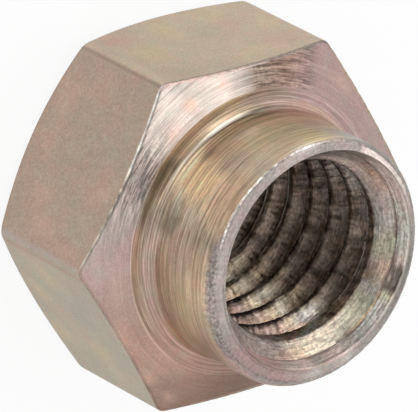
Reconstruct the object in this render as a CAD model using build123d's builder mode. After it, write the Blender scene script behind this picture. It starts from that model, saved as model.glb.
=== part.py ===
"""Collared hexagon nut for an M12 bolt, turned in one piece from 19 mm hexagon bar.

Millimetres. The nut stands on its flat back face at z = 0, and the bore runs up through the round collar.
"""

from build123d import *
import math
import os

# Hexagon bar
across_flats = 19.0
corner_radius = 0.7

# Body of the nut, from the back face to the turned shoulder
body_height = 9.0
back_face_inset = 0.475
back_chamfer_angle = 30.0
front_chamfer_angle = 18.0
shoulder_width = 1.125

# Bore, with the M12 x 1.75 thread taken at its inner diameter
thread_dia = 12.0
thread_depth = 0.9
counterbore_clearance = 0.25
counterbore_depth = 0.9
counterbore_flare = 0.225
countersink_angle = 82.0
lip_break = 0.15
back_sink_clearance = 0.7
back_sink_angle = 120.0

# Collar round the counterbore
collar_wall = 0.875
collar_height = 5.5
root_fillet = 0.8
mouth_edge_radius = 0.35

# The hole was bored a little off the middle, so the lip round the mouth is uneven
bore_offset_x = -0.22
bore_offset_y = 0.13

# Radii and heights that follow from the sizes above
envelope_radius = across_flats / math.sqrt(3) + 1.0
thread_radius = thread_dia / 2 - thread_depth
counterbore_radius = (thread_dia + counterbore_clearance) / 2
back_sink_radius = (thread_dia + back_sink_clearance) / 2
collar_radius = counterbore_radius + collar_wall
shoulder_radius = collar_radius + shoulder_width
back_face_radius = across_flats / 2 - back_face_inset
overall_height = body_height + collar_height
back_rise = (envelope_radius - back_face_radius) * math.tan(math.radians(back_chamfer_angle))
front_fall = (envelope_radius - shoulder_radius) * math.tan(math.radians(front_chamfer_angle))
floor_radius = counterbore_radius - counterbore_flare
countersink_depth = (floor_radius - thread_radius) / math.tan(math.radians(countersink_angle / 2))
back_sink_depth = (back_sink_radius - thread_radius) / math.tan(math.radians(back_sink_angle / 2))
counterbore_floor = overall_height - counterbore_depth
thread_top = counterbore_floor - countersink_depth

with BuildPart() as collared_nut:
    # Hexagon bar with its six upright edges slightly rounded
    with BuildSketch(Plane.XY) as bar_section:
        RegularPolygon(across_flats / 2, 6, major_radius=False)
        fillet(bar_section.vertices(), corner_radius)
    extrude(amount=body_height)

    # Turned chamfers: a steeper one behind, a shallow one running in to the shoulder
    with BuildSketch(Plane.XZ) as turned_outline:
        with BuildLine():
            Polyline(
                (0, 0),
                (back_face_radius, 0),
                (envelope_radius, back_rise),
                (envelope_radius, body_height - front_fall),
                (shoulder_radius, body_height),
                (0, body_height),
                close=True,
            )
        make_face()
    revolve(axis=Axis.Z, mode=Mode.INTERSECT)

    # Round collar rising from the shoulder
    with BuildSketch(Plane.XY.offset(body_height)) as collar_section:
        Circle(collar_radius)
    extrude(amount=collar_height)

    # Corner left by the tool between shoulder and collar, and the rolled edge at the mouth
    collar_rings = collared_nut.edges().filter_by(GeomType.CIRCLE)
    collar_rings = collar_rings.filter_by(lambda ring: abs(ring.radius - collar_radius) < 0.01)
    fillet(collar_rings.sort_by(Axis.Z)[0], root_fillet)
    mouth_ring = collared_nut.faces().sort_by(Axis.Z)[-1].outer_wire().edges()
    fillet(mouth_ring, mouth_edge_radius)

    # Bore: broken lip edge, flared counterbore, countersink, thread diameter and the back countersink
    with BuildSketch(Plane.XZ.offset(-bore_offset_y)) as bore_outline:
        with BuildLine(Location((bore_offset_x, 0))):
            Polyline(
                (0, 0),
                (back_sink_radius, 0),
                (thread_radius, back_sink_depth),
                (thread_radius, thread_top),
                (floor_radius, counterbore_floor),
                (counterbore_radius, overall_height - lip_break),
                (counterbore_radius + lip_break, overall_height),
                (0, overall_height),
                close=True,
            )
        make_face()
    revolve(axis=Axis((bore_offset_x, bore_offset_y, 0), (0, 0, 1)), mode=Mode.SUBTRACT)

collared_nut.part.label = "collared_nut"
os.makedirs("parts", exist_ok=True)
export_step(collared_nut.part, "parts/collared_nut.step")
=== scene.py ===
"""Looks of a collared hexagon nut: turned steel under a thin zinc film, with a coarse thread in its bore.

Everything is worked out in millimetres and put into the mesh in metres.

The skin of the nut is one closed surface. Its outside is a stack of rings. At each azimuth they follow a
chain of straight steps: out over the back face, up the flat, over the chamfer, the shoulder and the
fillet, up the collar and in over the lip. Its bore is a stack of helix lines, so that each crest, flank
and root of the thread has lines of its own. Each point also carries the film's tint, in which some
highlights, glints and shade are painted, the finish and the direction of the tool's marks.
"""

import math

import bpy
import numpy as np
from mathutils import Matrix, Vector


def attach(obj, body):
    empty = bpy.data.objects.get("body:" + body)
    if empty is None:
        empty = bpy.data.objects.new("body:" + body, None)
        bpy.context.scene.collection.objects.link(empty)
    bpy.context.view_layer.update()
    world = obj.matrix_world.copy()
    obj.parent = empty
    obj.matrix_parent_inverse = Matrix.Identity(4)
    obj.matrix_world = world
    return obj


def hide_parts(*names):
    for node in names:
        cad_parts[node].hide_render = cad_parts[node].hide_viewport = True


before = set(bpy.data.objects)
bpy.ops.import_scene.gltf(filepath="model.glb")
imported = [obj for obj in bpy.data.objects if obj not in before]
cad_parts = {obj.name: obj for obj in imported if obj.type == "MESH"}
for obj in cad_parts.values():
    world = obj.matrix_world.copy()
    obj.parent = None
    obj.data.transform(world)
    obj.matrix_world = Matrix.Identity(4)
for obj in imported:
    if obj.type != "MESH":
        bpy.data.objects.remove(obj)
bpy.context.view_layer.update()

# Metres in a millimetre
MM = 0.001

# Sizes of the nut, in millimetres
ACROSS_FLATS = 19.0
CORNER_RADIUS = 0.7
BODY_HEIGHT = 9.0
BACK_FACE_RADIUS = 9.025
BACK_SLOPE = math.tan(math.radians(30))
FRONT_SLOPE = math.tan(math.radians(18))
SHOULDER_RADIUS = 8.125
COLLAR_RADIUS = 7.0
ROOT_FILLET = 0.8
TOP = 14.5

# Rings up the collar, from its fillet to its chamfer: how many rows lead to each, and its height
COLLAR_RINGS = ((2, 10.15), (2, 10.8), (4, 12.0), (3, 13.0))

# Bore and thread. CREST_SLOPE is how fast the crest sinks on its upper side, as depth over height
BORE_CENTRE = (-0.22, 0.13)
MOUTH_RADIUS = 6.125
FLOOR_RADIUS = 5.9
FLOOR_HEIGHT = 13.6
SINK_SLOPE = math.tan(math.radians(41))
BACK_SINK_RADIUS = 6.35
BACK_SINK_SLOPE = math.tan(math.radians(60))
PITCH = 1.75
THREAD_INNER = 5.1
THREAD_OUTER = 6.0
CREST_WIDTH = 0.25
CREST_SLOPE = 0.6
ROOT_WIDTH = 0.22
THREAD_PHASE = 0.34
RUN_OUT_START = 12.1
RUN_OUT_TOP = 12.55
RAGGED_EDGE = 0.012
CHATTER = 0.008

# Film of the bore and its painted light: heights between which its shades change, from the first to the
# second, a height between the two countersinks, and places across the thread's pitch where the painted
# glints on the crest's edges lie
SINK_BLEND = (12.8, 13.35)
DEEP_BLEND = (6.5, 4.0)
TOP_BLEND = (11.4, 11.9)
BETWEEN_SINKS = 3.0
LOWER_EDGE = 0.43
UPPER_EDGE = 0.60

# Grid: columns round the axis, and the widest angle between faces that still shade as one
COLUMNS = 480
CORNER_COLUMNS = 3
SMOOTH_ANGLE = math.radians(40)
FULL_TURN = 2 * math.pi

# Helix lines on the flank below a crest and on the one above, and how near its end a line has run out
LINES_BELOW = 5
LINES_ABOVE = 6
END_GAP = 0.02

# How far the grain and the tool lines stand out, and the floor under the nut, in metres. The floor is plain
# out to the first radius and near white from the second on
RELIEF = 1.6e-5
FLOOR_SPAN = 0.6
FLOOR_DROP = 2e-5
FLOOR_PLAIN = 0.0075
FLOOR_WHITE = 0.0092
FLOOR_COLOUR = (0.88, 0.88, 0.88, 1)

# Lamps: name, way from the nut, distance and width in metres, and how bright each one looks
LAMPS = (
    ("key_lamp", (-0.28, 0.30, 0.91), 0.5, 0.26, 1.9),
    ("front_lamp", (-0.10, -0.72, 0.78), 0.45, 0.12, 1.0),
    ("side_lamp", (-0.75, -0.12, 0.65), 0.45, 0.20, 2.4),
)
LAMP_TARGET = (0, 0, 0.008)

# Camera: sensor and lens in millimetres, how near it sees and its place in metres, and the ways of the
# picture's right and top
SENSOR_WIDTH = 36.0
LENS = 770.72
NEAREST = 0.01
CAMERA_PLACE = (-0.02931294, -0.3256458, 0.35776187)
CAMERA_RIGHT = (-0.40606571, 0.68795521, 0.60152162)
CAMERA_UP = (-0.91182422, -0.2612789, -0.31671742)

# Shades of the zinc film, and of the steel where it is bare, dark or freshly torn. GOLD, HONEY_HIGHLIGHT,
# CREAM and
# CHALK also serve as painted highlights and glints, and SLATE as painted shade in creases, crevices and
# grooves
STRAW = (0.56, 0.45, 0.34)
ROSE = (0.57, 0.38, 0.30)
FAWN = (0.46, 0.35, 0.28)
SAGE = (0.45, 0.385, 0.30)
PINK = (0.51, 0.37, 0.32)
CLAY = (0.46, 0.30, 0.24)
LILAC = (0.43, 0.365, 0.34)
STONE = (0.40, 0.37, 0.34)
ASH = (0.385, 0.38, 0.35)
MOSS = (0.38, 0.36, 0.28)
GOLD = (0.98, 0.73, 0.48)
# HONEY_HIGHLIGHT is used only as painted highlight: on the collar and on the thread's lit crests
HONEY_HIGHLIGHT = (1.00, 0.80, 0.58)
LEMON = (0.62, 0.50, 0.30)
BEIGE = (0.62, 0.45, 0.32)
OLIVE = (0.46, 0.35, 0.24)
UMBER = (0.42, 0.28, 0.19)
SLATE = (0.22, 0.18, 0.16)
PEARL = (0.48, 0.41, 0.37)
ORCHID = (0.51, 0.365, 0.345)
CREAM = (0.88, 0.77, 0.64)
CHALK = (0.92, 0.86, 0.82)


def column_angles():
    """Azimuth of each column: even steps over each corner arc, then even steps along each flat."""
    per_side = COLUMNS // 6
    sector = math.radians(60)
    half = corner_arc()[1]
    knots = (0, CORNER_COLUMNS, per_side - CORNER_COLUMNS, per_side)
    one_side = np.interp(np.arange(per_side), knots, (0, half, sector - half, sector))
    return np.concatenate([one_side + sector * side for side in range(6)])


def corner_arc():
    """Distance from the axis to the centre of a corner's arc, and half the azimuth that the arc spans."""
    lean = math.radians(30)
    centre = ACROSS_FLATS / math.sqrt(3) - CORNER_RADIUS / math.cos(lean)
    return centre, math.atan2(CORNER_RADIUS * math.sin(lean), centre + CORNER_RADIUS * math.cos(lean))


def hexagon_radius(angle):
    """Distance from the axis to a round-cornered hexagon: flat over cosine, or a corner arc's far side."""
    off_corner = np.abs((angle + math.radians(30)) % math.radians(60) - math.radians(30))
    centre, half = corner_arc()
    flat = ACROSS_FLATS / 2 / np.cos(math.radians(30) - off_corner)
    reach = CORNER_RADIUS ** 2 - (centre * np.sin(off_corner)) ** 2
    arc = centre * np.cos(off_corner) + np.sqrt(np.maximum(reach, 0))
    return np.where(off_corner < half, arc, flat)


def waves(seed, count, whole, along, angle, run):
    """Rough swell: a sum of cosines with whole counts round the axis and random counts along the run."""
    draw = np.random.default_rng(seed)
    turns = draw.integers(whole[0], whole[1] + 1, count) * draw.choice((-1, 1), count)
    rates = draw.uniform(along[0], along[1], count)
    shifts = draw.uniform(0, FULL_TURN, count)
    total = np.zeros(np.broadcast(angle, run).shape)
    for turn, rate, shift in zip(turns, rates, shifts):
        total = total + np.cos(turn * angle + rate * run + shift)
    return total / math.sqrt(count / 2)


def flecks(seed, angle):
    """A random number from -1 to 1 for each column, in runs of two to twelve columns, for broken lines."""
    draw = np.random.default_rng(seed)
    short, middle, long = (np.repeat(draw.uniform(-1, 1, len(angle) // run), run) for run in (2, 5, 12))
    return 0.3 * short + 0.3 * middle + 0.4 * long


def step(value, low, high):
    """Smooth rise from 0 at low to 1 at high."""
    share = np.clip((value - low) / (high - low), 0, 1)
    return share * share * (3 - 2 * share)


def around(angle, *points):
    """A value that runs evenly from one (degrees, value) point to the next, all the way round the axis."""
    spots, values = np.array(points, float).T
    return np.interp(np.degrees(angle), spots, values, period=360)


def near(angle, centre, half):
    """One close to an azimuth in degrees, falling off smoothly past the half width."""
    off = (np.degrees(angle) - centre + 180) % 360 - 180
    return np.exp(-(off / half) ** 4)


def film(angle, *points):
    """Tint from one (degrees, shade, strength) point to the next, all the way round the axis."""
    spots = [point[0] for point in points]
    shades = np.array([np.multiply(shade, strength) for _, shade, strength in points])
    return np.array([np.interp(np.degrees(angle), spots, channel, period=360) for channel in shades.T])


def key(angle, rows, radius, height, tint, rough, lines=0.0, torn=0.0, speck=0.0, shift=0.0):
    """A ring of the profile with its looks, and the number of rows that lead to it from the one before."""
    parts = (radius, height, shift, *tint, rough, lines, torn, speck)
    return rows, np.array([np.broadcast_to(part, angle.shape) for part in parts], float)


def hexagon_keys(angle):
    """Back face, back chamfer, flats, and the front chamfer up to the edge of the shoulder."""
    hexagon = hexagon_radius(angle)
    back = (hexagon - BACK_FACE_RADIUS) * BACK_SLOPE
    front = BODY_HEIGHT - (hexagon - SHOULDER_RADIUS) * FRONT_SLOPE
    crease = around(angle, (-125, 0.06), (-90, 0.05), (-60, 0.045), (0, 0.045), (150, 0.045), (190, 0.05))
    dots = waves(3, 9, (30, 115), (0, 0), angle, 0 * angle)
    dotted = flecks(4, angle) * around(angle, (-130, 0.2), (-118, 0.3), (-104, 0.8), (-62, 0.8), (-55, 0.2))
    crease = crease * (1 + 0.2 * dots + 0.2 * dotted)
    # Painted highlight and shade on the rounded corners: a pale strip and a dark line near azimuth -120,
    # and a pale band and a darker line near -60
    flat = film(angle, (-179, STRAW, 1.0), (-124, STRAW, 0.96), (-121.9, STRAW, 1.06),
                (-120.6, STRAW, 1.06), (-120, FAWN, 0.96), (-119.4, FAWN, 0.76), (-118.75, FAWN, 0.98),
                (-61.6, FAWN, 0.98), (-60.3, PEARL, 0.98),
                (-58.6, SAGE, 1.0), (-57.6, CLAY, 0.95), (-56.4, SAGE, 1.0), (-1.5, SAGE, 0.98),
                (1.5, FAWN, 0.9), (58.5, FAWN, 1.0), (61.5, STRAW, 0.9), (118.5, STRAW, 0.9),
                (121.5, SAGE, 1.0), (178.5, SAGE, 1.0))
    # Painted highlight along the crease's rounding: CHALK and CREAM from azimuth -119 to -63, broken up by
    # the dots. SLATE from -179 to -121.5 and near -57 is painted shade along the crease
    edge = film(angle, (-179, SLATE, 1.1), (-121.5, SLATE, 1.0), (-119, CHALK, 0.85), (-96, CHALK, 0.8),
                (-88, CREAM, 0.75), (-63, CREAM, 0.62), (-60, CLAY, 0.8), (-57, SLATE, 1.3),
                (0, CLAY, 0.55), (60, FAWN, 0.9), (175, FAWN, 0.9))
    edge = edge * (1 + 0.15 * dots + dotted).clip(0.15, 1.6)
    # Painted shadow: a thin dark SLATE line just inside the crease, at the chamfer's outer edge
    inside = film(angle, (-179, SLATE, 1.3), (-122, PINK, 0.9), (-118, SLATE, 1.0), (-64, SLATE, 1.3),
                  (-58, PINK, 0.8), (0, CLAY, 0.6), (60, FAWN, 0.9), (175, FAWN, 0.9))
    # Painted shade: the rim and foot of the chamfer darken from azimuth 0 to 45, below the collar
    rim = film(angle, (-178, ORCHID, 0.8), (-165, CLAY, 0.66), (-152, FAWN, 0.46), (-146, PEARL, 0.66),
               (-138, PEARL, 0.9), (-128, PEARL, 0.76), (-124, PEARL, 0.7), (-119, PEARL, 0.95),
               (-110, PEARL, 0.98), (-100, PEARL, 1.0), (-94, LILAC, 0.82), (-88, LILAC, 1.1),
               (-83, LILAC, 1.16), (-73, LILAC, 1.12), (-58, ORCHID, 0.95), (-45, PINK, 0.88),
               (-28, CLAY, 0.9), (-14, CLAY, 1.08), (-2, CLAY, 0.72), (10, CLAY, 0.58), (25, CLAY, 0.46),
               (45, CLAY, 0.6), (90, FAWN, 0.85), (140, ORCHID, 0.86), (165, ORCHID, 0.78),
               (178, ORCHID, 0.78))
    foot = film(angle, (-178, ORCHID, 0.72), (-165, CLAY, 0.66), (-152, FAWN, 0.5), (-146, PEARL, 0.72),
                (-138, PEARL, 0.93), (-128, PEARL, 0.82), (-124, PEARL, 0.76), (-119, PEARL, 0.98),
                (-112, PEARL, 1.08), (-105, PEARL, 1.16), (-98, LILAC, 1.0), (-92, STONE, 0.52),
                (-86, LILAC, 1.1), (-78, LILAC, 1.15), (-62, ORCHID, 0.96), (-45, PINK, 0.92),
                (-28, CLAY, 0.98), (-10, CLAY, 1.05), (0, CLAY, 0.82), (12, CLAY, 0.62), (25, CLAY, 0.5),
                (45, CLAY, 0.62), (90, FAWN, 0.85), (150, ORCHID, 0.82), (172, ORCHID, 0.76))
    torn = around(angle, (-180, 0.1), (-174, 0.8), (-153, 1.0), (-148, 0.25), (-125, 0.12), (-108, 0.25),
                  (-101, 0.9), (-84, 1.0), (-76, 0.35), (-60, 0.05), (90, 0.1), (170, 0.0))
    lines = around(angle, (-180, 0.3), (-150, 0.8), (-105, 1.0), (-90, 0.7), (-65, 0.25), (0, 0.2),
                   (170, 0.2))
    gloss = around(angle, (-180, 0.4), (-150, 0.3), (-105, 0.3), (-80, 0.42), (0, 0.42))
    # The crease's painted highlight and painted shadow, mixed
    crease_shading = 0.35 * edge + 0.65 * inside
    fine = dict(rough=0.46)
    turned = dict(rough=gloss, lines=lines, torn=torn)
    return [
        key(angle, 1, BACK_SINK_RADIUS, 0, FAWN, 0.42, lines=0.5, shift=1),
        key(angle, 3, 8.9, 0, FAWN, 0.42, lines=0.5),
        key(angle, 1, BACK_FACE_RADIUS + 0.03, 0.03, FAWN, 0.42, lines=0.5),
        key(angle, 3, hexagon - 0.12, back - 0.07, FAWN, 0.42, lines=0.5),
        key(angle, 2, hexagon - 0.02, back + 0.01, 0.9 * flat, **fine),
        key(angle, 1, hexagon, back + 0.12, flat, **fine),
        key(angle, 12, hexagon, front - crease - 0.06, flat, **fine),
        key(angle, 1, hexagon, front - crease, 0.75 * flat + 0.25 * edge, rough=0.42),
        key(angle, 2, hexagon - 0.35 * crease, front - 0.25 * crease, edge, rough=0.36),
        key(angle, 2, hexagon - crease, front + FRONT_SLOPE * crease, crease_shading, rough=0.36),
        key(angle, 1, hexagon - crease - 0.07, front + FRONT_SLOPE * (crease + 0.07), inside, **turned),
        key(angle, 1, hexagon - crease - 0.16, front + FRONT_SLOPE * (crease + 0.16), rim, **turned),
        key(angle, 17, SHOULDER_RADIUS + 0.05, BODY_HEIGHT - 0.016, foot, **turned),
    ]


def fillet_films(angle):
    """Tints of the fillet at the foot of the collar, from the shoulder up."""
    shoulder = film(angle, (-178, ORCHID, 0.8), (-160, FAWN, 0.6), (-148, FAWN, 0.58),
                    (-138, OLIVE, 0.72), (-130, OLIVE, 0.6), (-120, BEIGE, 0.6), (-108, BEIGE, 0.5),
                    (-104, BEIGE, 0.3), (-98, OLIVE, 0.36), (-92, OLIVE, 0.46), (-83, OLIVE, 0.7),
                    (-77, FAWN, 0.78), (-70, FAWN, 1.1), (-58, FAWN, 1.15), (-49, FAWN, 1.3),
                    (-40, FAWN, 1.15), (-20, CLAY, 1.25), (0, CLAY, 0.97), (20, CLAY, 0.7),
                    (40, CLAY, 0.65), (90, FAWN, 0.85), (160, ORCHID, 0.92), (172, ORCHID, 0.92))
    low_fillet = film(angle, (-178, ROSE, 0.95), (-162, PINK, 0.95), (-152, FAWN, 0.66),
                      (-144, OLIVE, 0.75), (-136, OLIVE, 1.0), (-127, BEIGE, 1.1), (-119, OLIVE, 1.1),
                      (-110, BEIGE, 0.8), (-103, BEIGE, 0.4), (-98, BEIGE, 0.6), (-92, OLIVE, 0.85),
                      (-80, FAWN, 0.7), (-70, FAWN, 1.0), (-60, PINK, 1.0), (-45, PINK, 0.84),
                      (-30, CLAY, 0.95), (-10, CLAY, 0.98), (20, CLAY, 0.75), (90, FAWN, 0.85),
                      (160, PINK, 1.05))
    # Painted highlight: a pale CREAM line along the fillet from azimuth -140 to -101
    pale_highlight_line = film(angle, (-178, ROSE, 0.98), (-160, PINK, 0.85), (-154, OLIVE, 0.7),
                     (-146, STRAW, 0.7), (-140, CREAM, 0.8), (-133, CREAM, 0.9), (-127, CREAM, 1.05),
                     (-119, CREAM, 0.9), (-110, CREAM, 0.95), (-101, CREAM, 0.95), (-92, STRAW, 1.0),
                     (-80, FAWN, 0.76), (-68, PINK, 1.05), (-45, PINK, 0.9), (-30, CLAY, 1.0),
                     (-10, CLAY, 1.0), (20, CLAY, 0.75), (90, FAWN, 0.85), (160, FAWN, 1.1))
    # Painted shade: a dark SLATE line in the crevice from azimuth -152 to -125, and painted golden
    # highlight at -101
    crevice_shade_line = film(angle, (-178, ROSE, 0.95), (-162, PINK, 0.75), (-152, SLATE, 1.2),
                     (-142, SLATE, 0.6), (-125, SLATE, 0.8), (-117, OLIVE, 0.9), (-108, BEIGE, 0.95),
                     (-101, GOLD, 0.9), (-94, STRAW, 1.0), (-86, FAWN, 0.9), (-78, FAWN, 0.95),
                     (-70, FAWN, 1.2), (-62, FAWN, 0.95), (-45, FAWN, 0.85), (-24, UMBER, 1.05),
                     (0, UMBER, 0.9), (20, UMBER, 0.8), (90, FAWN, 0.85), (160, FAWN, 1.1))
    # Painted golden highlight: HONEY_HIGHLIGHT from azimuth -111 to -101
    high_fillet = film(angle, (-178, ROSE, 1.15), (-162, ROSE, 0.92), (-150, OLIVE, 0.82),
                       (-142, OLIVE, 0.95), (-128, OLIVE, 1.15), (-119, BEIGE, 1.15), (-111, HONEY_HIGHLIGHT, 1.0),
                       (-101, HONEY_HIGHLIGHT, 1.0), (-94, STRAW, 1.25), (-86, STRAW, 0.92), (-79, STRAW, 0.95),
                       (-74, CREAM, 0.85), (-69, STRAW, 1.2), (-62, PINK, 1.05), (-45, FAWN, 1.05),
                       (-24, UMBER, 1.25), (0, UMBER, 1.05), (20, UMBER, 0.9), (90, FAWN, 0.85),
                       (160, FAWN, 1.25))
    return shoulder, low_fillet, pale_highlight_line, crevice_shade_line, high_fillet


def collar_films(angle):
    """Tints of the collar above its fillet, one for each of its rings."""
    # Painted golden highlight: GOLD and CREAM from azimuth -112 to -86 on the root, low and middle rings
    root = film(angle, (-178, BEIGE, 1.0), (-160, BEIGE, 0.95), (-142, OLIVE, 1.3), (-127, OLIVE, 1.25),
                (-116, BEIGE, 1.0), (-108, GOLD, 0.98), (-100, GOLD, 1.02), (-93, CREAM, 1.05),
                (-86, CREAM, 0.95), (-80, STRAW, 1.05), (-74, CREAM, 0.9), (-66, STRAW, 1.25),
                (-58, STRAW, 1.12), (-50, STRAW, 1.18), (-40, STRAW, 1.0), (-30, STRAW, 0.92),
                (-18, STRAW, 1.05), (30, UMBER, 0.9), (90, FAWN, 0.85), (160, UMBER, 1.2))
    low = film(angle, (-178, OLIVE, 1.4), (-158, OLIVE, 1.58), (-142, OLIVE, 1.68), (-135, STRAW, 1.6),
               (-128, BEIGE, 1.3), (-118, BEIGE, 1.25), (-112, GOLD, 0.95), (-106, GOLD, 1.02),
               (-98, GOLD, 1.02), (-91, STRAW, 1.25), (-82, STRAW, 1.4), (-70, STRAW, 1.12),
               (-56, STRAW, 1.1), (-42, STRAW, 1.0), (-28, OLIVE, 1.28), (-18, OLIVE, 1.3),
               (-10, UMBER, 1.1), (30, UMBER, 0.8), (90, FAWN, 0.85), (160, OLIVE, 1.2))
    middle = film(angle, (-178, OLIVE, 1.25), (-160, OLIVE, 1.35), (-150, LEMON, 1.15),
                  (-138, LEMON, 1.0), (-121, STRAW, 0.93), (-114, STRAW, 0.9), (-108, GOLD, 0.86),
                  (-100, GOLD, 0.78), (-90, STRAW, 1.2), (-80, STRAW, 0.92), (-62, STRAW, 1.08),
                  (-48, LEMON, 1.0), (-36, OLIVE, 1.22), (-22, UMBER, 1.02), (30, UMBER, 0.8),
                  (90, FAWN, 0.85), (160, OLIVE, 1.15))
    high = film(angle, (-178, STONE, 1.15), (-164, SAGE, 1.2), (-156, LEMON, 1.05), (-148, LEMON, 1.08),
                (-140, OLIVE, 1.28), (-120, STRAW, 1.0), (-108, BEIGE, 1.0), (-98, BEIGE, 1.05),
                (-90, BEIGE, 0.95), (-81, STRAW, 0.68), (-72, BEIGE, 0.98), (-55, BEIGE, 1.12),
                (-45, OLIVE, 1.15), (-32, UMBER, 1.0), (-18, UMBER, 0.85), (30, UMBER, 0.8),
                (90, FAWN, 0.85), (160, SAGE, 1.1))
    return root, low, middle, high


def collar_keys(angle):
    """Shoulder ring, fillet, and the collar up to its chamfer."""
    # Painted highlight: CHALK on the shoulder's turned edge from azimuth -87 to -80
    turned_edge = film(angle, (-178, ORCHID, 0.78), (-168, ORCHID, 0.82), (-160, FAWN, 0.7),
                       (-148, FAWN, 0.64), (-138, OLIVE, 0.9), (-124, OLIVE, 0.9), (-110, BEIGE, 0.72),
                       (-100, OLIVE, 0.68), (-92, LILAC, 1.15), (-87, CHALK, 1.0), (-80, CHALK, 1.02),
                       (-73, ORCHID, 1.65), (-65, PINK, 1.6), (-54, FAWN, 1.2), (-40, FAWN, 1.15),
                       (-20, CLAY, 1.15), (0, CLAY, 0.92), (20, CLAY, 0.65), (40, CLAY, 0.65),
                       (90, FAWN, 0.85), (160, ORCHID, 0.92), (172, ORCHID, 0.88))
    fillet = fillet_films(angle)
    # Depth of a thin crevice that runs along part of the fillet
    crevice = 0.06 * near(angle, -135, 16)
    turned = dict(rough=around(angle, (-125, 0.42), (-112, 0.64), (-98, 0.64), (-88, 0.42)),
                  lines=around(angle, (-180, 0.7), (-120, 1.0), (-80, 1.0), (-40, 0.8), (90, 0.6)),
                  torn=around(angle, (-180, 0.1), (-125, 0.12), (-105, 0.25), (-85, 0.4), (-65, 0.1),
                              (0, 0.05)))
    deep_lines = dict(turned, lines=1.5 * turned["lines"])
    keys = [
        key(angle, 2, SHOULDER_RADIUS - 0.04, BODY_HEIGHT, turned_edge, **deep_lines),
        key(angle, 3, COLLAR_RADIUS + ROOT_FILLET, BODY_HEIGHT, fillet[0], **deep_lines),
    ]
    for turn in np.radians(np.arange(10, 91, 10)):
        tint = pick_tint(math.degrees(turn), *fillet)
        dip = crevice * np.exp(-((turn - math.radians(60)) / 0.1) ** 2)
        keys.append(key(angle, 1, COLLAR_RADIUS + ROOT_FILLET * (1 - math.sin(turn)) - dip,
                        BODY_HEIGHT + ROOT_FILLET * (1 - math.cos(turn)), tint, **deep_lines))
    films = collar_films(angle)
    for (rows, height), tint in zip(COLLAR_RINGS, films):
        keys.append(key(angle, rows, COLLAR_RADIUS, height, tint, **turned))
    tall, _ = chamfer_size(angle)
    keys.append(key(angle, 3, COLLAR_RADIUS, TOP - tall, films[-1], **turned))
    return keys


def pick_tint(turn, shoulder, low, pale_highlight_line, crevice_shade_line, high):
    """Tint of one ring of the fillet, by how far it has turned up from the shoulder, in degrees."""
    if turn < 25:
        return shoulder
    if turn < 45:
        return low
    if turn < 55:
        return pale_highlight_line
    return crevice_shade_line if turn < 65 else high


def chamfer_size(angle):
    """Height and depth of the chamfer round the mouth: small at the burr, large and torn on the left."""
    tall = around(angle, (-160, 0.12), (-95, 0.16), (-80, 0.62), (-60, 0.75), (-30, 0.7), (0, 0.5),
                  (60, 0.42), (120, 0.42), (170, 0.3))
    deep = around(angle, (-160, 0.09), (-95, 0.10), (-80, 0.24), (-60, 0.28), (-30, 0.30), (0, 0.38),
                  (60, 0.42), (120, 0.42), (170, 0.28))
    ragged = waves(5, 12, (12, 110), (0, 0), angle, 0 * angle) * (0.15 + 0.85 * near(angle, -85, 65))
    return tall * (1 + 0.1 * ragged), deep * (1 + 0.12 * ragged)


def lip_films(angle):
    """Tints of the chamfer round the mouth, its burr, the lip, and the lip's inner edge."""
    chamfer = film(angle, (-170, LILAC, 0.9), (-145, OLIVE, 1.0), (-90, BEIGE, 0.85), (-82, LILAC, 0.8),
                   (-73, LILAC, 0.8), (-62, LILAC, 0.95), (-48, LILAC, 1.2), (-38, LILAC, 0.95),
                   (-30, LILAC, 0.8), (-20, ORCHID, 1.0), (-10, ORCHID, 1.0), (0, LILAC, 0.95),
                   (30, LILAC, 0.85), (90, STONE, 0.9))
    # Painted highlight: the burr's CHALK from azimuth -142 to -88
    burr = film(angle, (-175, LILAC, 0.9), (-150, LILAC, 1.0), (-142, CHALK, 0.7), (-120, CHALK, 0.62),
                (-88, CHALK, 0.8), (-80, LILAC, 1.1), (-40, LILAC, 0.9), (-20, LILAC, 0.75),
                (30, LILAC, 0.9), (60, STONE, 1.1), (90, LILAC, 0.9), (160, LILAC, 0.9))
    lip = film(angle, (-175, LILAC, 0.95), (-165, LILAC, 1.05), (-152, LILAC, 0.82), (-146, LILAC, 1.02),
               (-134, LILAC, 1.07), (-124, LILAC, 1.05), (-116, LILAC, 0.85), (-107, LILAC, 0.85),
               (-99, LILAC, 0.9), (-88, LILAC, 1.0), (-78, LILAC, 1.02), (-62, LILAC, 1.04),
               (-51, LILAC, 0.92), (-46, LILAC, 1.05), (-38, LILAC, 0.78), (-20, ORCHID, 0.72),
               (-5, ORCHID, 0.66), (10, ORCHID, 0.75), (28, LILAC, 0.9), (40, LILAC, 0.98),
               (50, LILAC, 0.78), (66, STONE, 0.83), (88, STONE, 0.63), (108, STONE, 0.56),
               (118, ASH, 0.72), (130, LILAC, 0.85), (150, LILAC, 1.5), (165, LILAC, 1.7),
               (180, LILAC, 2.1))
    # Painted highlight: CREAM on the lip's rounded inner edge from azimuth -60 to -20
    rim = film(angle, (-175, LILAC, 0.9), (-150, LILAC, 1.1), (-60, CREAM, 0.62), (-20, CREAM, 0.5),
               (20, PINK, 1.0), (90, STONE, 1.1), (160, LILAC, 0.9))
    return chamfer, burr, lip, rim


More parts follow.
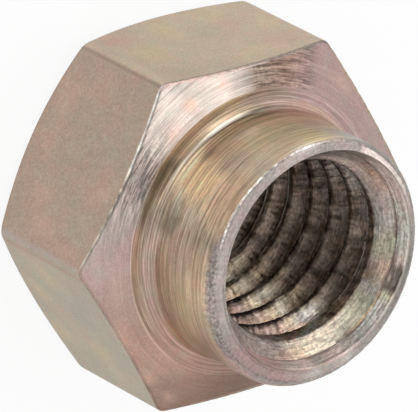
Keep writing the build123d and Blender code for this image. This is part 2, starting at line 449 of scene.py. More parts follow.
def wall_films(angle):
    """Tints of the flared wall inside the mouth, and of its foot."""
    # Painted light: strengths of up to three lighten the wall against the shade inside the mouth. SLATE
    # near azimuth 95 is painted shade in the nick
    wall = film(angle, (-175, SLATE, 1.4), (-160, SLATE, 0.85), (-152, SLATE, 0.8), (-146, LILAC, 0.72),
                (0, ORCHID, 1.35), (12, LILAC, 1.55), (24, LILAC, 2.0), (36, LILAC, 1.45),
                (47, LILAC, 2.25), (58, STONE, 1.5), (70, ASH, 2.35), (80, STONE, 2.5), (85, MOSS, 3.0),
                (89, SLATE, 1.5), (100, SLATE, 1.6), (104, LILAC, 2.55), (114, ASH, 2.45),
                (128, ASH, 2.45), (140, LILAC, 2.4), (152, LILAC, 2.3), (165, LILAC, 1.75),
                (176, SLATE, 2.0))
    # Painted shade: SLATE along the small groove at the wall's foot
    foot = film(angle, (-175, SLATE, 0.9), (-150, SLATE, 0.7), (0, PINK, 0.9), (20, SLATE, 1.4),
                (60, SLATE, 1.4), (75, CLAY, 1.2), (88, SLATE, 1.3), (120, SLATE, 1.2), (134, SLATE, 1.5),
                (145, PINK, 1.2), (165, SLATE, 1.8))
    return wall, foot


def mouth_keys(angle):
    """Chamfer, lip, and the flared wall down to its foot."""
    tall, deep = chamfer_size(angle)
    chamfer, burr, lip, rim = lip_films(angle)
    wall, foot = wall_films(angle)
    broken = flecks(6, angle)
    outer = COLLAR_RADIUS - deep

    def across(share):
        """Radius of a ring part of the way over the lip, from its outer edge to its inner one."""
        return outer + (MOUTH_RADIUS + 0.09 - outer) * share

    # The burr's painted highlight, broken in short runs where the burr is torn
    burr_break = around(angle, (-150, 0.1), (-142, 1.1), (-88, 1.1), (-78, 0.1))
    torn_burr_highlight = burr * (0.85 + burr_break * broken).clip(0.25, 1.2)
    # Painted shadow: a dark line on the lip just inside the burr
    burr_shadow_share = around(angle, (-175, 0.25), (-143, 0.3), (-138, 0.5), (-88, 0.5), (-78, 0.2), (-20, 0.1),
                    (60, 0.0))
    burr_shadow = lip * (1 - burr_shadow_share * (0.8 + 0.6 * broken))
    split = around(angle, (-95, 0.0), (-80, 0.25), (-20, 0.4), (0, 0.25), (20, 0.0), (150, 0.0))
    crack = lip * (1 - split * (0.8 + 0.7 * flecks(9, angle)))
    groove = 0.03 * around(angle, (14, 0), (24, 1), (132, 1), (142, 0))
    nick = near(angle, 95.5, 6)
    swell = 0.012 * waves(8, 9, (3, 17), (0, 0), angle, 0 * angle)
    rough = dict(rough=0.55,
                 torn=around(angle, (-85, 0.6), (-75, 0.2), (60, 0.3), (150, 0.4)),
                 speck=around(angle, (-85, 0.2), (-75, 1.0), (-35, 1.0), (-22, 0.3), (60, 0.3)))
    smooth = dict(rough=0.45, lines=0.3,
                  speck=around(angle, (-150, 0.35), (-90, 0.3), (0, 0.2), (60, 0.3), (130, 0.3)))
    inner = dict(rough=0.64, lines=0.8, torn=around(angle, (0, 0.1), (50, 0.5), (110, 0.4), (165, 0.5)),
                 speck=around(angle, (20, 0.1), (70, 0.5), (120, 0.5), (165, 0.2)), shift=1)
    return [
        key(angle, 3, COLLAR_RADIUS - 0.42 * deep, TOP - 0.42 * tall, chamfer, **rough),
        key(angle, 2, outer + 0.08, TOP - 0.06, 0.4 * burr + 0.6 * chamfer, **rough),
        key(angle, 1, outer, TOP - 0.01, torn_burr_highlight, rough=0.4, speck=0.8),
        key(angle, 1, across(0.1), TOP, burr_shadow, shift=0.1, **smooth),
        key(angle, 1, across(0.2), TOP, lip, shift=0.2, **smooth),
        key(angle, 3, across(0.72), TOP, lip, shift=0.72, **smooth),
        key(angle, 1, across(0.84), TOP, crack, shift=0.84, **smooth),
        key(angle, 1, across(1.0), TOP, lip, shift=1, **smooth),
        key(angle, 1, MOUTH_RADIUS + 0.035, TOP - 0.05, rim, 0.38, shift=1),
        key(angle, 1, MOUTH_RADIUS + swell, TOP - 0.16, wall, **inner),
        key(angle, 2, MOUTH_RADIUS - 0.045 + 0.12 * nick + swell, TOP - 0.32, wall, **inner),
        key(angle, 5, FLOOR_RADIUS + 0.02 + swell, FLOOR_HEIGHT + 0.08, wall, **inner),
        key(angle, 1, FLOOR_RADIUS + groove + 0.01, FLOOR_HEIGHT + 0.03, foot, **inner),
        key(angle, 1, FLOOR_RADIUS + groove, FLOOR_HEIGHT, foot, **inner),
    ]


def outer_rows(angle):
    """All rings from the back countersink round the outside to the foot of the mouth, with their looks."""
    keys = hexagon_keys(angle) + collar_keys(angle) + mouth_keys(angle)
    rows = [keys[0][1]]
    for (_, before), (count, after) in zip(keys, keys[1:]):
        for part in np.arange(1, count + 1) / count:
            rows.append(before + (after - before) * part)
    return np.array(rows)


def groove_height(angle, height):
    """Height of the middle of the groove that a point of the thread belongs to, all along its helix."""
    turn = angle / FULL_TURN
    return THREAD_PHASE + PITCH * (np.round((height - THREAD_PHASE) / PITCH - turn) + turn)


def thread_turn(angle, height):
    """Place across the thread's pitch, from 0 to 1 going up, with the middle of the crest at a half."""
    return ((height - THREAD_PHASE) / PITCH - angle / FULL_TURN) % 1


def thread_radius(angle, height):
    """Radius of the threaded wall: crest, flank, root and flank in turn, rising one pitch each turn.

    The depth grows with the distance past the crest's edge up to the root, and above the crest's middle it
    is at least the crest's slope times that height. It fades out where the groove meets the countersink.
    """
    turn = thread_turn(angle, height)
    from_crest = np.abs(turn - 0.5) * PITCH
    flank = PITCH / 2 - CREST_WIDTH / 2 - ROOT_WIDTH / 2
    ragged = RAGGED_EDGE * waves(24, 12, (6, 34), (0.5, 3.0), angle, height)
    depth = np.clip((from_crest - CREST_WIDTH / 2 - ragged) / flank, 0, 1) * (THREAD_OUTER - THREAD_INNER)
    depth = np.maximum(depth, CREST_SLOPE * PITCH * (turn - 0.5).clip(0))
    depth = depth * step(groove_height(angle, height), RUN_OUT_TOP, RUN_OUT_START)
    chatter = waves(11, 14, (28, 112), (0.5, 3.0), angle, height)
    return THREAD_INNER + depth + CHATTER * chatter


def thread_rows(angle):
    """Heights of the helix lines. Each line stays on one crest, flank or root all the way round."""
    crest = CREST_WIDTH / 2 / PITCH
    root = 0.5 - ROOT_WIDTH / 2 / PITCH
    below = 0.5 - np.linspace(crest, root, LINES_BELOW)
    above = 0.5 + np.linspace(crest, root, LINES_ABOVE)
    marks = np.concatenate([below, [0.5], above, [0.0]])
    drops = np.sort(((FLOOR_HEIGHT - THREAD_PHASE) / PITCH - marks) % 1)
    turns = math.ceil(FLOOR_HEIGHT / PITCH + 1)
    drops = (drops + np.arange(turns)[:, None]).ravel() * PITCH
    return FLOOR_HEIGHT - drops[:, None] + PITCH * angle / FULL_TURN, len(marks)


def sink_film(angle, height):
    """Tint of the countersinks: two bands that blend on the way up the front one, and one shade behind."""
    # Painted glints: CREAM and STRAW from azimuth 26 to 60. Painted light: strengths above one lift the
    # shaded side from azimuth 155 to 175
    lower = film(angle, (-150, SLATE, 1.0), (0, LILAC, 1.35), (15, LILAC, 1.15), (28, CREAM, 0.95),
                 (50, CREAM, 0.93), (60, CREAM, 0.84), (72, MOSS, 1.3), (80, MOSS, 1.15),
                 (86, STONE, 0.8), (91, UMBER, 0.42), (98, SLATE, 1.4), (108, MOSS, 1.25),
                 (118, ASH, 0.92), (130, STONE, 0.92), (142, LILAC, 0.95), (155, LILAC, 1.2),
                 (165, LILAC, 1.65), (173, SLATE, 3.8))
    upper = film(angle, (-150, SLATE, 0.9), (0, LILAC, 1.25), (16, PINK, 1.0), (26, STRAW, 1.6),
                 (38, CREAM, 0.94), (50, CREAM, 0.82), (58, CREAM, 0.54), (68, MOSS, 1.7),
                 (78, MOSS, 0.84), (86, STONE, 1.0), (92, FAWN, 1.08), (100, FAWN, 1.3),
                 (108, MOSS, 1.15), (116, MOSS, 1.35), (125, STONE, 1.4), (138, LILAC, 1.45),
                 (150, PINK, 1.3), (160, ROSE, 0.95), (168, PINK, 0.9), (172, SLATE, 1.8))
    tint = lower[:, None] + (upper - lower)[:, None] * step(height, *SINK_BLEND)
    return np.where(height < BETWEEN_SINKS, np.array(FAWN)[:, None, None], tint)


def thread_film(angle, height, depth):
    """Tint of the thread, by its depth from 0 at the crest to 1 at the root.

    It is the crest's shade where the painted light reaches, and painted shade deeper down that turns
    lighter towards the root, with painted glints along the crest's torn edges.
    """
    turn = thread_turn(angle, height)
    uneven = waves(21, 10, (4, 26), (0.4, 2.2), angle, height)
    torn = waves(22, 12, (30, 120), (1.0, 9.0), angle, height)
    # Painted light: a mask of how far down the flank light reaches, by azimuth
    reach = around(angle, (0, 0.8), (60, 0.8), (100, 0.7), (150, 0.6), (250, 0.4))
    reach = reach * (1 + 0.25 * uneven + 0.2 * torn)
    light = np.where(turn > 0.5, step(depth, reach + 0.3, reach - 0.2), step(depth, 0.1, 0.02))
    light = light * (0.87 + 0.19 * waves(23, 10, (8, 60), (0.8, 5.0), angle, height)).clip(0.2, 1.5)
    # The crest's tint: painted glints in HONEY_HIGHLIGHT and CREAM from azimuth 44 to 56, and painted light
    # in LILAC from 150 to 165
    crest = film(angle, (-90, STONE, 0.6), (0, LILAC, 0.8), (22, PINK, 0.75), (34, PINK, 0.85),
                 (44, HONEY_HIGHLIGHT, 0.62), (50, CREAM, 0.66), (56, HONEY_HIGHLIGHT, 0.36), (64, OLIVE, 0.42),
                 (72, FAWN, 0.4), (80, FAWN, 0.24), (95, FAWN, 0.30), (108, FAWN, 0.44),
                 (118, FAWN, 0.45), (135, FAWN, 0.48), (150, LILAC, 1.15), (165, LILAC, 1.15),
                 (200, FAWN, 0.6))
    # Painted light: the lower half of the crest made lighter from azimuth 58 to 165
    low_half = around(angle, (58, 0.3), (70, 1.2), (90, 2.2), (105, 3.5), (120, 4.5), (140, 3.5),
                      (165, 0))
    low_half = low_half * step(turn, 0.5, 0.4)
    # Painted light: the thread made lighter deep down and just below the countersink, by azimuth
    deep_lift = around(angle, (20, 0.6), (45, 1.1), (60, 1.5), (90, 1.5), (102, 1.9), (117, 0.9),
                       (132, 2.2), (170, 1.0))
    top_lift = around(angle, (20, 2.5), (40, 1.7), (55, 1.7), (65, 2.6), (78, 3.2), (90, 3.0), (105, 2.1),
                      (120, 1.0), (170, 1.0))
    lift = 1 + deep_lift * step(height, *DEEP_BLEND) + top_lift * step(height, *TOP_BLEND)
    worn = around(angle, (10, 0), (25, 0.6), (44, 0.6), (52, 0), (340, 0)) * step(turn, 0.72, 0.52)
    # Painted shade of the flank past the light: darkest near the crest, painted lighter towards the root,
    # and darker below the crest's lower edge and next to the root
    groove_shading = film(angle, (-90, UMBER, 0.6), (20, UMBER, 1.2), (44, UMBER, 1.2), (54, UMBER, 0.32),
                (62, UMBER, 0.16), (80, UMBER, 0.11), (100, UMBER, 0.25), (120, LILAC, 0.4),
                (135, LILAC, 0.4), (150, LILAC, 0.75), (200, UMBER, 0.5))[:, None]
    behind = np.where(turn < LOWER_EDGE, 0.55, 1 - 0.45 * step(turn, 0.9, 1.0))
    groove_shading = groove_shading * (0.05 + 2.8 * depth ** 2.5) * behind
    # Painted glints: pale CREAM lines along the crest's upper and lower torn edges, in patches
    high_edge_glint = around(angle, (10, 0), (30, 0.6), (60, 0.4), (85, 0.06), (170, 0))
    high_edge_glint = high_edge_glint * np.exp(-((turn - UPPER_EDGE) / 0.035) ** 2)
    low_edge_glint = around(angle, (10, 0), (30, 0.5), (60, 0.5), (75, 0.3), (100, 0.25), (125, 0.35),
                      (150, 0.35), (170, 0))
    low_edge_glint = low_edge_glint * np.exp(-((turn - LOWER_EDGE) / 0.025) ** 2)
    patches = step(torn, 0.0, 1.2)
    tint = groove_shading + (crest[:, None] * (1 + low_half) * lift * (1 - worn) - groove_shading) * light
    tint = tint + (high_edge_glint + low_edge_glint) * patches * np.array(CREAM)[:, None, None]
    return tint.clip(0, 1)


def bore_rows(angle, height):
    """Radius and looks of the bore: the widest of the thread, the countersink above and the one behind."""
    sink = FLOOR_RADIUS - (FLOOR_HEIGHT - height) * SINK_SLOPE
    back_sink = BACK_SINK_RADIUS - height * BACK_SINK_SLOPE
    thread = thread_radius(angle, height)
    radius = np.maximum(np.maximum(thread, sink), back_sink)
    on_sink = step(np.maximum(sink, back_sink) - thread, -0.02, 0.04)
    depth = np.maximum(thread - THREAD_INNER, 0) / (THREAD_OUTER - THREAD_INNER)
    tint = thread_film(angle, height, depth)
    tint = tint + (sink_film(angle, height) - tint) * on_sink
    even = np.ones_like(radius)
    rough = 0.38 + 0.2 * on_sink
    looks = [radius, height, even, *tint, rough, 0.5 * even, 0.45 * even, 0.8 - 0.3 * on_sink]
    return np.array([np.broadcast_to(part, radius.shape) for part in looks])


# How near the hexagon's radius a point counts as on a flat
FLAT_GAP = 0.001

# Soft stains in the film, and painted glints: azimuth in degrees, radius (None on the flats), height, half
# width in degrees, half height in millimetres, shade, and how far the film goes to that shade
FLAT_STAINS = (
    (-128.0, None, 1.6, 5.0, 0.9, ROSE, 0.9),
    (-122.5, None, 3.0, 1.6, 1.6, LILAC, 0.35),
    (-131.0, None, 4.2, 6.0, 1.3, LEMON, 0.6),
    (-146.0, None, 2.1, 5.0, 1.3, LEMON, 0.6),
    (-155.0, None, 3.4, 6.0, 1.0, SAGE, 0.4),
    (-151.0, None, 5.6, 9.0, 0.8, STRAW, 0.6),
    (-165.0, None, 3.6, 4.0, 0.9, ROSE, 0.45),
    (-166.0, None, 1.8, 5.0, 0.9, LEMON, 0.45),
    (-157.0, None, 7.2, 9.0, 0.8, LEMON, 0.4),
    (-171.0, None, 6.6, 5.0, 0.8, ROSE, 0.6),
    (-129.0, None, 7.7, 6.0, 0.8, FAWN, 0.35),
    (-142.0, None, 7.9, 5.0, 0.8, SAGE, 0.4),
    (-175.0, None, 4.4, 4.0, 1.2, LEMON, 0.35),
    (-107.0, None, 1.6, 8.0, 0.9, ROSE, 0.55),
    (-112.0, None, 3.9, 5.0, 1.2, ROSE, 0.3),
    (-116.0, None, 2.0, 2.5, 1.2, LILAC, 0.4),
    (-95.0, None, 4.0, 7.0, 1.4, SAGE, 0.25),
    (-90.0, None, 1.6, 5.0, 0.8, ROSE, 0.5),
    (-84.0, None, 7.2, 4.5, 1.1, ROSE, 0.55),
    (-98.0, None, 6.6, 5.0, 1.0, STONE, 0.35),
    (-106.0, None, 7.4, 5.0, 0.8, FAWN, 0.4),
    (-80.0, None, 4.6, 6.0, 1.3, SAGE, 0.2),
    (-74.0, None, 2.9, 4.0, 1.0, ROSE, 0.55),
    (-67.0, None, 3.9, 3.5, 1.3, ROSE, 0.5),
    (-70.0, None, 6.4, 4.0, 1.2, SAGE, 0.3),
    (-63.0, None, 7.0, 2.5, 1.2, ROSE, 0.4),
    (-93.0, None, 5.2, 1.6, 0.25, SLATE, 0.25),
    (-55.0, None, 3.2, 4.0, 1.2, ROSE, 0.35),
    (-48.0, None, 3.9, 5.0, 1.2, LEMON, 0.45),
    (-37.0, None, 1.8, 5.0, 1.0, LEMON, 0.5),
    (-36.0, None, 5.2, 8.0, 1.4, STONE, 0.4),
    (-46.0, None, 7.0, 5.0, 1.0, LILAC, 0.35),
    (-31.0, None, 2.9, 6.0, 0.8, ROSE, 0.3),
    (-17.0, None, 1.5, 6.0, 1.0, LEMON, 0.4),
    (-17.0, None, 5.1, 7.0, 1.3, LEMON, 0.4),
    (-20.0, None, 7.6, 6.0, 0.9, LILAC, 0.4),
    (-8.0, None, 6.0, 4.0, 1.2, STRAW, 0.35),
)
# The CREAM spot on the collar at -105 and the pale spots round the mouth at -143 and from 28 to 94 are
# painted highlights and glints
RING_STAINS_AND_GLINTS = (
    (-124.0, 9.1, 8.68, 2.4, 0.30, ROSE, 0.9),
    (-138.0, 9.0, 8.72, 2.0, 0.22, ROSE, 0.6),
    (-112.0, 8.6, 8.85, 3.0, 0.25, ROSE, 0.5),
    (-33.0, 9.3, 8.62, 8.0, 0.45, ROSE, 0.55),
    (-6.0, 9.5, 8.55, 5.0, 0.55, SLATE, 0.4),
    (-3.0, 10.2, 8.33, 1.6, 0.2, SLATE, 0.5),
    (-9.0, 9.9, 8.42, 1.5, 0.15, SLATE, 0.45),
    (-14.0, 9.6, 8.52, 4.0, 0.3, ROSE, 0.5),
    (-52.0, 8.9, 8.75, 7.0, 0.5, ROSE, 0.35),
    (-60.0, 9.9, 8.42, 4.0, 0.3, PEARL, 0.5),
    (-1.0, 10.0, 8.39, 3.0, 0.30, ROSE, 0.5),
    (168.0, 9.3, 8.62, 7.0, 0.50, ROSE, 0.35),
    (-81.5, 7.0, 10.6, 6.0, 0.6, SLATE, 0.62),
    (-80.0, 7.0, 12.2, 3.5, 0.9, OLIVE, 0.5),
    (-117.0, 7.0, 10.2, 4.0, 0.40, SLATE, 0.45),
    (-133.0, 7.0, 10.6, 7.0, 0.50, STONE, 0.45),
    (-148.0, 7.0, 12.3, 11.0, 0.80, MOSS, 0.45),
    (-168.0, 7.0, 10.1, 7.0, 0.50, ROSE, 0.5),
    (-105.0, 7.0, 12.45, 7.0, 0.16, CREAM, 0.5),
    (-43.0, 7.0, 14.1, 4.0, 0.30, MOSS, 0.5),
    (72.0, 5.93, 13.62, 12.0, 0.05, GOLD, 0.9),
    (94.0, 6.00, 13.75, 1.6, 0.09, CREAM, 0.9),
    (-143.0, 6.9, 14.5, 7.0, 0.30, CHALK, 0.45),
    (28.0, 6.4, 14.5, 5.0, 0.30, CHALK, 0.25),
    (49.0, 6.4, 14.5, 5.0, 0.25, CHALK, 0.30),
)
# The pale and pink spots on the thread are painted glints; the UMBER ones are dark spots
THREAD_STAINS_AND_GLINTS = (
    (55.0, 5.4, 10.85, 9.0, 0.30, CHALK, 1.0),
    (70.0, 5.12, 10.85, 5.0, 0.25, STRAW, 0.6),
    (46.0, 5.4, 9.5, 6.0, 0.28, CREAM, 0.85),
    (30.0, 5.2, 9.15, 7.0, 0.30, ROSE, 0.5),
    (54.0, 5.4, 7.3, 7.0, 0.28, CREAM, 0.8),
    (57.0, 5.5, 8.2, 4.0, 0.30, BEIGE, 0.5),
    (31.0, 5.4, 7.7, 7.0, 0.25, CREAM, 0.6),
    (62.0, 5.2, 5.65, 6.0, 0.25, BEIGE, 0.5),
    (64.0, 5.8, 2.85, 7.0, 0.55, CHALK, 1.0),
    (56.0, 5.25, 9.55, 3.0, 0.25, UMBER, 0.6),
    (37.0, 5.12, 7.37, 4.0, 0.20, UMBER, 0.45),
    (66.0, 5.10, 5.65, 4.0, 0.25, UMBER, 0.6),
    (58.0, 5.10, 5.57, 3.0, 0.20, UMBER, 0.45),
    (51.0, 5.4, 10.93, 6.0, 0.28, CHALK, 0.7),
    (74.0, 5.2, 3.1, 4.0, 0.25, FAWN, 0.5),
    (114.0, 5.3, 11.1, 4.0, 0.2, LILAC, 0.4),
    (123.0, 5.3, 5.25, 1.2, 0.1, CREAM, 0.35),
    (133.0, 5.3, 6.95, 1.2, 0.1, CREAM, 0.3),
)


def stained_and_glinted(looks, angle, stains):
    """The looks with their tint shifted towards each spot's shade, a stain or a painted glint, in a soft
    oval spot.
    """
    radius, height, tint = looks[:, 0], looks[:, 1], looks[:, 3:6]
    for azimuth, at_radius, at_height, wide, tall, shade, share in stains:
        across = ((np.degrees(angle) - azimuth + 180) % 360 - 180) / wide
        on_flat = at_radius is None
        along = (height - at_height) ** 2 + (0 if on_flat else (radius - at_radius) ** 2)
        weight = share * np.exp(-across ** 2 - along / tall ** 2)
        if on_flat:
            weight = weight * (np.abs(radius - hexagon_radius(angle)) < FLAT_GAP)
        tint += weight[:, None] * (np.array(shade)[:, None] - tint)
    return looks


def bore_skin(angle):
    """Looks of each point of the helix lines, and which of them have run out past the top or the bottom."""
    height, per_turn = thread_rows(angle)
    above = height > FLOOR_HEIGHT - END_GAP
    below = height < END_GAP
    above[:per_turn, -1] = True
    below[-per_turn:, 0] = True
    return bore_rows(angle, np.clip(height, 0, FLOOR_HEIGHT)).transpose(1, 0, 2), above, below, per_turn


def nut_skin():
    """Azimuth and looks of each point, and the faces of the closed skin.

    The rings outside are joined at both ends to the helix lines of the bore.
    """
    angle = column_angles()
    outside = stained_and_glinted(stained_and_glinted(outer_rows(angle), angle, FLAT_STAINS), angle, RING_STAINS_AND_GLINTS)
    bore, above, below, per_turn = bore_skin(angle)
    bore = stained_and_glinted(bore, angle, THREAD_STAINS_AND_GLINTS)

    rings = np.arange(len(outside) * COLUMNS).reshape(-1, COLUMNS)
    lines = np.arange(len(bore) * COLUMNS).reshape(-1, COLUMNS) + rings.size
    lines = np.where(above, rings[-1], np.where(below, rings[0], lines))
    lines = np.vstack([rings[-1], lines, rings[0]])
    a_turn_up = np.maximum(np.arange(len(lines)) - per_turn, 0)
    bore_next = np.hstack([lines[:, 1:], lines[a_turn_up, 0][:, None]])
    faces = np.vstack([triangles(rings, np.roll(rings, -1, axis=1)), triangles(lines, bore_next)])

    looks = np.vstack([outside, bore])
    angles = np.broadcast_to(angle, looks[:, 0].shape)
    looks = looks.transpose(0, 2, 1).reshape(-1, looks.shape[1])
    used, faces = np.unique(faces, return_inverse=True)
    return angles.reshape(-1)[used], looks[used], faces.reshape(-1, 3)


def triangles(here, there):
    """Two triangles for each cell between neighbouring columns, without any that has shrunk to a line."""
    low, high = here[:-1], here[1:]
    low_next, high_next = there[:-1], there[1:]
    first = np.stack([low, low_next, high_next], axis=-1).reshape(-1, 3)
    second = np.stack([low, high_next, high], axis=-1).reshape(-1, 3)
    both = np.vstack([first, second])
    a, b, c = both.T
    return both[(a != b) & (b != c) & (a != c)]


def carry(mesh, name, kind, field, values):
    """Keeps one value per point on the mesh, for the material to read."""
    flat_values = np.ascontiguousarray(values, np.float32).ravel()
    mesh.attributes.new(name, kind, "POINT").data.foreach_set(field, flat_values)


def nut_piece():
    """The nut as a mesh, with its film, its finish and the lie of the tool's marks kept at each point."""
    angle, looks, faces = nut_skin()
    radius, height, shift = looks[:, 0], looks[:, 1], looks[:, 2]
    points = np.column_stack([radius * np.cos(angle) + shift * BORE_CENTRE[0],
                              radius * np.sin(angle) + shift * BORE_CENTRE[1], height])
    mesh = bpy.data.meshes.new("nut")
    mesh.from_pydata(points * MM, [], faces)
    mesh.shade_smooth()
    mesh.set_sharp_from_angle(angle=SMOOTH_ANGLE)
    # Place along the profile: up the outside and on down the bore, and inwards over the faces
    run = np.where(shift > 0.5, 2 * TOP - height, height) - radius
    carry(mesh, "lathe", "FLOAT_VECTOR", "vector", np.column_stack([np.cos(angle), np.sin(angle), run]))
    # The film's tint, with the painted highlights, glints and shade in it
    carry(mesh, "film", "FLOAT_COLOR", "color", np.column_stack([looks[:, 3:6], np.ones(len(looks))]))
    carry(mesh, "marks", "FLOAT_VECTOR", "vector", looks[:, 7:10])
    carry(mesh, "rough", "FLOAT", "value", looks[:, 6])
    mesh.materials.append(nut_steel())
    nut = bpy.data.objects.new("nut", mesh)
    bpy.context.scene.collection.objects.link(nut)
    print("triangles", len(faces))
    return nut


def add(tree, kind, inputs=(), **settings):
    """A node with its settings, and its inputs set to values or linked to sockets."""
    made = tree.nodes.new(kind)
    for name, value in settings.items():
        setattr(made, name, value)
    for name, value in dict(inputs).items():
        if isinstance(value, bpy.types.NodeSocket):
            tree.links.new(value, made.inputs[name])
        else:
            made.inputs[name].default_value = value
    return made


def times(tree, first, second):
    """Product of two numbers or sockets."""
    return add(tree, "ShaderNodeMath", {0: first, 1: second}, operation="MULTIPLY").outputs[0]


def plus(tree, first, second):
    """Sum of two numbers or sockets."""
    return add(tree, "ShaderNodeMath", {0: first, 1: second}, operation="ADD").outputs[0]


def larger(tree, first, second):
    """The larger of two numbers or sockets."""
    return add(tree, "ShaderNodeMath", {0: first, 1: second}, operation="MAXIMUM").outputs[0]


def remap(tree, value, low, high, out_low, out_high):
    """A value taken from one range to another, and held at its ends."""
    ends = {"From Min": low, "From Max": high, "To Min": out_low, "To Max": out_high}
    return add(tree, "ShaderNodeMapRange", {"Value": value, **ends}).outputs[0]


def lathe_noise(tree, lathe, stretch, detail=2.0):
    """Noise along the tool's marks. Stretch is its rate on both axes of the circle, and per mm across."""
    at = add(tree, "ShaderNodeVectorMath", {0: lathe, 1: stretch}, operation="MULTIPLY").outputs[0]
    shape = {"Scale": 1.0, "Detail": detail, "Roughness": 0.6}
    return add(tree, "ShaderNodeTexNoise", {"Vector": at, **shape}).outputs[0]


def solid_noise(tree, scale, detail=2.0, colour=False):
    """Noise through the solid, at a scale per metre."""
    place = add(tree, "ShaderNodeTexCoord").outputs["Object"]
    shape = {"Scale": scale, "Detail": detail, "Roughness": 0.6}
    made = add(tree, "ShaderNodeTexNoise", {"Vector": place, **shape})
    return made.outputs["Color" if colour else 0]


def part_way(tree, value, share):
    """A factor that stays at one where the share is nothing, and reaches the value where it is full."""
    return plus(tree, times(tree, plus(tree, value, -1.0), share), 1.0)


def fresh_material(name):
    """A new material with an empty node tree, and that tree."""
    material = bpy.data.materials.new(name)
    material.use_nodes = True
    material.node_tree.nodes.clear()
    return material, material.node_tree


def nut_steel():
    """Satin steel under a thin zinc film: soft grain, turned lines, torn streaks, specks and chatter."""
    material, tree = fresh_material("zinc_film_steel")
    # The film's tint, with the painted highlights, glints and shade in it
    tint = add(tree, "ShaderNodeAttribute", attribute_name="film").outputs["Color"]
    lathe = add(tree, "ShaderNodeAttribute", attribute_name="lathe").outputs["Vector"]
    rough = add(tree, "ShaderNodeAttribute", attribute_name="rough").outputs["Fac"]
    marks = add(tree, "ShaderNodeAttribute", attribute_name="marks").outputs["Vector"]
    split = add(tree, "ShaderNodeSeparateXYZ", {0: marks})
    lined, torn, specked = split.outputs

    grain = solid_noise(tree, 5200.0, 3.0)
    grit = solid_noise(tree, 11000.0, 2.0)
    cloud = solid_noise(tree, 850.0, 2.0)
    coarse = lathe_noise(tree, lathe, (1.3, 1.3, 6.5))
    fine = lathe_noise(tree, lathe, (2.6, 2.6, 17.0))
    streak = lathe_noise(tree, lathe, (8.0, 8.0, 6.0), 3.0)
    cross = lathe_noise(tree, lathe, (34.0, 34.0, 1.6), 1.0)
    speck = solid_noise(tree, 5200.0, 4.0)

    streak_tone = remap(tree, streak, 0.40, 0.60, 0.42, 1.22)
    line_tone = times(tree, remap(tree, coarse, 0.36, 0.64, 0.76, 1.18),
                      remap(tree, fine, 0.36, 0.64, 0.84, 1.13))
    tone = times(tree, remap(tree, grain, 0.3, 0.7, 0.93, 1.06), remap(tree, cloud, 0.3, 0.7, 0.96, 1.04))
    unlined = plus(tree, 1.0, times(tree, lined, -0.8))
    tone = times(tree, tone, part_way(tree, remap(tree, grit, 0.3, 0.7, 0.86, 1.14), unlined))
    tone = times(tree, tone, part_way(tree, line_tone, lined))
    tone = times(tree, tone, part_way(tree, streak_tone, torn))
    tone = times(tree, tone, part_way(tree, remap(tree, speck, 0.38, 0.62, 0.58, 1.25), specked))
    hue = remap(tree, solid_noise(tree, 1300.0), 0.35, 0.65, 0.0, 1.0)
    pinker = (1.03, 0.975, 0.975, 1)
    greener = (0.97, 1.025, 1.0, 1)
    blush = add(tree, "ShaderNodeMix", {"Factor": hue, "A": pinker, "B": greener}, data_type="RGBA")
    blushed = add(tree, "ShaderNodeVectorMath", {0: tint, 1: blush.outputs["Result"]}, operation="MULTIPLY")
    toned = add(tree, "ShaderNodeVectorMath", {0: blushed.outputs[0], "Scale": tone}, operation="SCALE")

    turned_lines = times(tree, plus(tree, coarse, times(tree, fine, 0.4)), lined)
    relief = plus(tree, times(tree, grain, 0.5), turned_lines)
    relief = plus(tree, relief, times(tree, plus(tree, times(tree, streak, 2.0), cross), torn))
    relief = plus(tree, relief, times(tree, speck, times(tree, specked, 0.8)))
    bump = add(tree, "ShaderNodeBump", {"Height": relief, "Strength": 1.0, "Distance": RELIEF})
    roughness = plus(tree, rough, remap(tree, grain, 0.3, 0.7, -0.05, 0.05))
    looks = {"Base Color": toned.outputs[0], "Metallic": 1.0, "Roughness": roughness,
             "Normal": bump.outputs[0]}
    shader = add(tree, "ShaderNodeBsdfPrincipled", looks)
    add(tree, "ShaderNodeOutputMaterial", {"Surface": shader.outputs[0]})
    return material


def white_share(tree):
    """One for the rays that see the backdrop: from the camera, off gloss or through glass."""
    path = add(tree, "ShaderNodeLightPath").outputs
    seen = larger(tree, path["Is Camera Ray"], path["Is Glossy Ray"])
    return larger(tree, seen, path["Is Transmission Ray"])


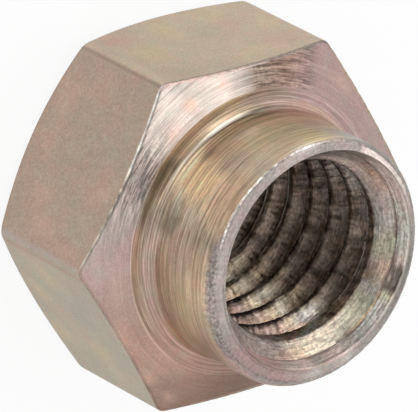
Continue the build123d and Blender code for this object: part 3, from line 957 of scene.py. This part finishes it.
def white_floor():
    """A wide pale floor. It is plain under the nut, and near white where it is seen."""
    material, tree = fresh_material("pale_floor")
    place = add(tree, "ShaderNodeTexCoord").outputs["Object"]
    flat = add(tree, "ShaderNodeVectorMath", {0: place, 1: (1, 1, 0)}, operation="MULTIPLY")
    reach = add(tree, "ShaderNodeVectorMath", {0: flat.outputs[0]}, operation="LENGTH")
    ends = {"From Min": FLOOR_PLAIN, "From Max": FLOOR_WHITE, "To Min": 0.0, "To Max": 0.9}
    open_floor = add(tree, "ShaderNodeMapRange", {"Value": reach.outputs["Value"], **ends},
                     interpolation_type="SMOOTHSTEP")
    share = times(tree, white_share(tree), open_floor.outputs[0])
    matt = add(tree, "ShaderNodeBsdfDiffuse", {"Color": FLOOR_COLOUR})
    white = add(tree, "ShaderNodeEmission", {"Color": (1, 1, 1, 1), "Strength": 1.0})
    mixed = add(tree, "ShaderNodeMixShader", {0: share, 1: matt.outputs[0], 2: white.outputs[0]})
    add(tree, "ShaderNodeOutputMaterial", {"Surface": mixed.outputs[0]})
    mesh = bpy.data.meshes.new("studio_floor")
    sides = ((-1, -1), (1, -1), (1, 1), (-1, 1))
    corners = [(FLOOR_SPAN * x, FLOOR_SPAN * y, -FLOOR_DROP) for x, y in sides]
    mesh.from_pydata(corners, [], [(0, 1, 2, 3)])
    mesh.materials.append(material)
    floor = bpy.data.objects.new("studio_floor", mesh)
    bpy.context.scene.collection.objects.link(floor)


def studio_world():
    """Even pale light from all round, white where it is seen."""
    world = bpy.data.worlds.new("studio")
    world.use_nodes = True
    tree = world.node_tree
    tree.nodes.clear()
    soft = add(tree, "ShaderNodeBackground", {"Color": (1, 1, 1, 1), "Strength": 0.8})
    white = add(tree, "ShaderNodeBackground", {"Color": (1, 1, 1, 1), "Strength": 1.0})
    shares = {0: white_share(tree), 1: soft.outputs[0], 2: white.outputs[0]}
    mixed = add(tree, "ShaderNodeMixShader", shares)
    add(tree, "ShaderNodeOutputWorld", {"Surface": mixed.outputs[0]})
    bpy.context.scene.world = world


def soft_lamp(name, direction, distance, width, glow):
    """A square lamp that faces the nut, with its power worked out from how bright it looks."""
    lamp = bpy.data.lights.new(name, "AREA")
    lamp.shape = "SQUARE"
    lamp.size = width
    lamp.energy = glow * math.pi * width ** 2
    holder = bpy.data.objects.new(name, lamp)
    way = Vector(direction).normalized()
    holder.location = Vector(LAMP_TARGET) + way * distance
    holder.rotation_euler = way.to_track_quat("Z", "Y").to_euler()
    bpy.context.scene.collection.objects.link(holder)


def photo_camera():
    """A long lens at the photograph's angle, turned so that the collar points down to the right."""
    lens = bpy.data.cameras.new("camera")
    lens.sensor_width = SENSOR_WIDTH
    lens.lens = LENS
    lens.clip_start = NEAREST
    camera = bpy.data.objects.new("camera", lens)
    right = Vector(CAMERA_RIGHT)
    up = Vector(CAMERA_UP)
    turn = Matrix((right, up, right.cross(up))).transposed().to_4x4()
    camera.matrix_world = Matrix.Translation(CAMERA_PLACE) @ turn
    bpy.context.scene.collection.objects.link(camera)
    bpy.context.scene.camera = camera


photo_camera()
studio_world()
white_floor()
for lamp in LAMPS:
    soft_lamp(*lamp)

nut = nut_piece()
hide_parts("collared_nut")
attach(nut, "root")

bpy.context.scene.view_settings.view_transform = "Standard"
